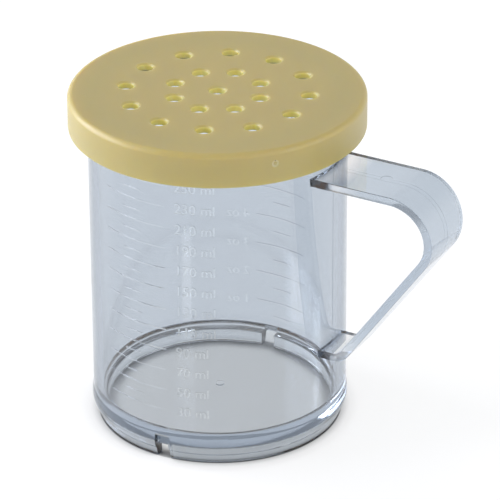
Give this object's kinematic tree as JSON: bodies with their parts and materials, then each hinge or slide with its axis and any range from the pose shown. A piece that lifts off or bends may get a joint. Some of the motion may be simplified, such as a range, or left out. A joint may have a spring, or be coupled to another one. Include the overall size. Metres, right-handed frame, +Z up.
{
  "type": "shaker cup with lid",
  "caption": "Clear strap-handled shaker cup with moulded measuring scales and a push-in lid with pouring holes for dry seasonings.",
  "frame": {"origin": "on the cup's axis, in the plane of the foot's ring that the cup stands on", "axes": "+Z up along the cup's axis, +X from the axis out through the handle, +Y across the handle"},
  "size_m": [0.109, 0.08, 0.0952],
  "materials": {
    "clear_plastic": "clear, polished",
    "lid_plastic": "satin"
  },
  "bodies": {
    "cup": {"cup": "clear_plastic", "handle": "clear_plastic"},
    "lid": {"lid": "lid_plastic"}
  },
  "joints": [
    {"name": "lid_lift", "type": "slide", "parent": "cup", "child": "lid", "axis": [0, 0, 1], "range_m": [0, 0.05]}
  ]
}
